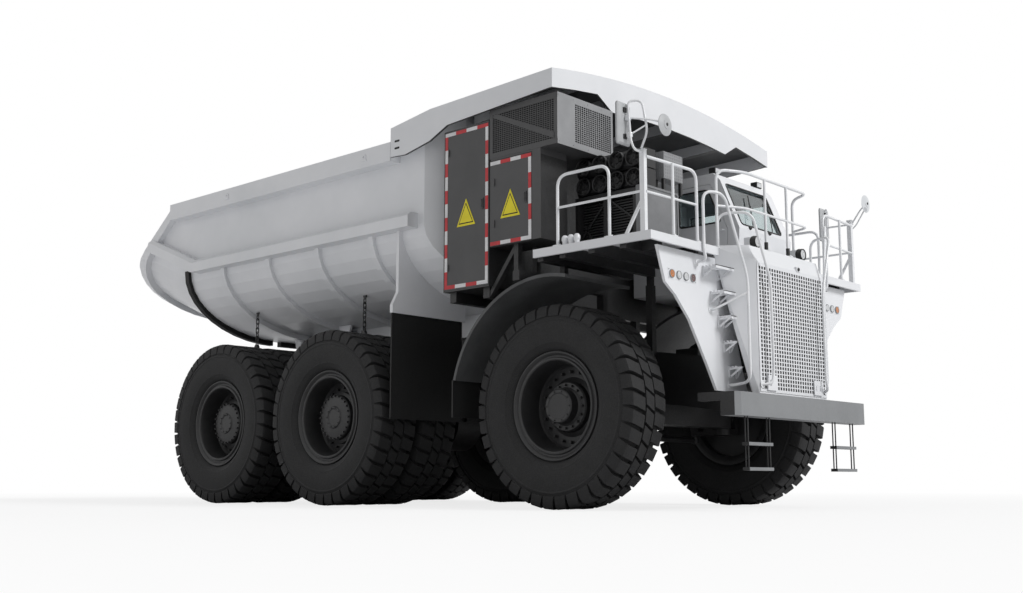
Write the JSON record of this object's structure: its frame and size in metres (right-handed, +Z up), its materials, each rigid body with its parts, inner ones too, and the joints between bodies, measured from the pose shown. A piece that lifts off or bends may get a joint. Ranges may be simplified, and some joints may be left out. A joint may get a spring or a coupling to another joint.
{
  "type": "electric mining dump truck",
  "caption": "Rigid-frame electric mining dump truck with a hoist-tilted canopy bed, steered front axle, twin-tyred tandem, deck with rails and an offset cab.",
  "frame": {"origin": "centre of the ground footprint, on the ground", "axes": "+X forward, +Y to the left side, +Z up"},
  "size_m": [13.12, 6.14, 6.06],
  "materials": {
    "white_paint": "gloss",
    "chassis_paint": "satin",
    "bumper_paint": "satin",
    "cabinet_paint": "satin",
    "grey_paint": "satin",
    "tyre_rubber": "matte",
    "sheet_rubber": "matte",
    "window_glass": "gloss",
    "rod_chrome": "polished",
    "black_plastic": "matte"
  },
  "bodies": {
    "chassis": {"frame": "chassis_paint", "drive_motor": "chassis_paint", "front_axle": "chassis_paint", "rear_axles": "chassis_paint", "suspension": "chassis_paint", "bumper": "bumper_paint", "boarding_ladders": "chassis_paint", "hood": "white_paint", "grille": "white_paint", "fender_panels": "white_paint", "stair_steps": "white_paint", "deck": "white_paint", "deck_frame": "chassis_paint", "handrails": "white_paint", "mirrors": "black_plastic", "cab_shell": "white_paint", "cab_glass": "window_glass", "cab_interior": "black_plastic", "equipment_cabinets": "cabinet_paint", "vent_box": "grey_paint", "fan_bank": "black_plastic", "cooling_unit": "grey_paint", "wheel_arches": "white_paint", "arch_flaps": "sheet_rubber", "lamps": "black_plastic"},
    "cab_door": {"cab_door": "white_paint", "door_glass": "window_glass"},
    "knuckle_right": {"knuckle_right": "chassis_paint"},
    "knuckle_left": {"knuckle_left": "chassis_paint"},
    "tie_rod": {"tie_rod": "chassis_paint"},
    "wheel_front_right": {"tyre_front_right": "tyre_rubber", "hub_front_right": "chassis_paint"},
    "wheel_front_left": {"tyre_front_left": "tyre_rubber", "hub_front_left": "chassis_paint"},
    "wheel_middle_right": {"tyres_middle_right": "tyre_rubber", "hub_middle_right": "chassis_paint"},
    "wheel_middle_left": {"tyres_middle_left": "tyre_rubber", "hub_middle_left": "chassis_paint"},
    "wheel_rear_right": {"tyres_rear_right": "tyre_rubber", "hub_rear_right": "chassis_paint"},
    "wheel_rear_left": {"tyres_rear_left": "tyre_rubber", "hub_rear_left": "chassis_paint"},
    "bed": {"bed_shell": "white_paint", "bed_ribs": "white_paint", "bed_sills": "white_paint", "bed_canopy": "white_paint", "bed_flaps": "sheet_rubber", "rock_ejectors": "chassis_paint"},
    "hoist_barrel_right": {"hoist_barrel_right": "chassis_paint"},
    "hoist_barrel_left": {"hoist_barrel_left": "chassis_paint"},
    "hoist_rod_right": {"hoist_rod_right": "rod_chrome"},
    "hoist_rod_left": {"hoist_rod_left": "rod_chrome"}
  },
  "joints": [
    {"name": "steer_right", "type": "hinge", "parent": "chassis", "child": "knuckle_right", "pos_m": [4.185, -1.66, 1.35], "axis": [0, 0, 1], "range_deg": [-35, 35]},
    {"name": "steer_left", "type": "hinge", "parent": "chassis", "child": "knuckle_left", "pos_m": [4.185, 1.66, 1.35], "axis": [0, 0, 1], "range_deg": [-35, 35]},
    {"name": "tie_rod_pivot", "type": "hinge", "parent": "knuckle_right", "child": "tie_rod", "pos_m": [3.665, -1.66, 1.01], "axis": [0, 0, 1], "range_deg": [-35, 35]},
    {"name": "front_wheel_right_spin", "type": "hinge", "parent": "knuckle_right", "child": "wheel_front_right", "pos_m": [4.185, -2.1, 1.35], "axis": [0, 1, 0], "continuous": true},
    {"name": "front_wheel_left_spin", "type": "hinge", "parent": "knuckle_left", "child": "wheel_front_left", "pos_m": [4.185, 2.1, 1.35], "axis": [0, 1, 0], "continuous": true},
    {"name": "middle_wheel_right_spin", "type": "hinge", "parent": "chassis", "child": "wheel_middle_right", "pos_m": [-0.175, -2.386, 1.35], "axis": [0, 1, 0], "continuous": true},
    {"name": "middle_wheel_left_spin", "type": "hinge", "parent": "chassis", "child": "wheel_middle_left", "pos_m": [-0.175, 2.386, 1.35], "axis": [0, 1, 0], "continuous": true},
    {"name": "rear_wheel_right_spin", "type": "hinge", "parent": "chassis", "child": "wheel_rear_right", "pos_m": [-3.085, -2.386, 1.35], "axis": [0, 1, 0], "continuous": true},
    {"name": "rear_wheel_left_spin", "type": "hinge", "parent": "chassis", "child": "wheel_rear_left", "pos_m": [-3.085, 2.386, 1.35], "axis": [0, 1, 0], "continuous": true},
    {"name": "bed_tilt", "type": "hinge", "parent": "chassis", "child": "bed", "pos_m": [-3.435, 0, 2.89], "axis": [0, -1, 0], "range_deg": [0, 45]},
    {"name": "hoist_pivot_right", "type": "hinge", "parent": "chassis", "child": "hoist_barrel_right", "pos_m": [-2.365, -0.945, 1.35], "axis": [0, -1, 0], "range_deg": [0, 19.18]},
    {"name": "hoist_extend_right", "type": "slide", "parent": "hoist_barrel_right", "child": "hoist_rod_right", "axis": [0.3786, 0, 0.9255], "range_m": [0, 1.1236]},
    {"name": "hoist_pivot_left", "type": "hinge", "parent": "chassis", "child": "hoist_barrel_left", "pos_m": [-2.365, 0.945, 1.35], "axis": [0, -1, 0], "range_deg": [0, 19.18]},
    {"name": "hoist_extend_left", "type": "slide", "parent": "hoist_barrel_left", "child": "hoist_rod_left", "axis": [0.3786, 0, 0.9255], "range_m": [0, 1.1236]},
    {"name": "cab_door_swing", "type": "hinge", "parent": "chassis", "child": "cab_door", "pos_m": [4.123, 0.532, 4], "axis": [0, 0, -1], "range_deg": [0, 85]}
  ],
  "couplings": [
    {"joint": "steer_left", "follows": "steer_right", "ratio": 1},
    {"joint": "tie_rod_pivot", "follows": "steer_right", "ratio": -1},
    {"joint": "hoist_pivot_right", "follows": "bed_tilt", "ratio": 0.426},
    {"joint": "hoist_extend_right", "follows": "bed_tilt", "m_per_rad": 1.43},
    {"joint": "hoist_pivot_left", "follows": "bed_tilt", "ratio": 0.426},
    {"joint": "hoist_extend_left", "follows": "bed_tilt", "m_per_rad": 1.43}
  ]
}
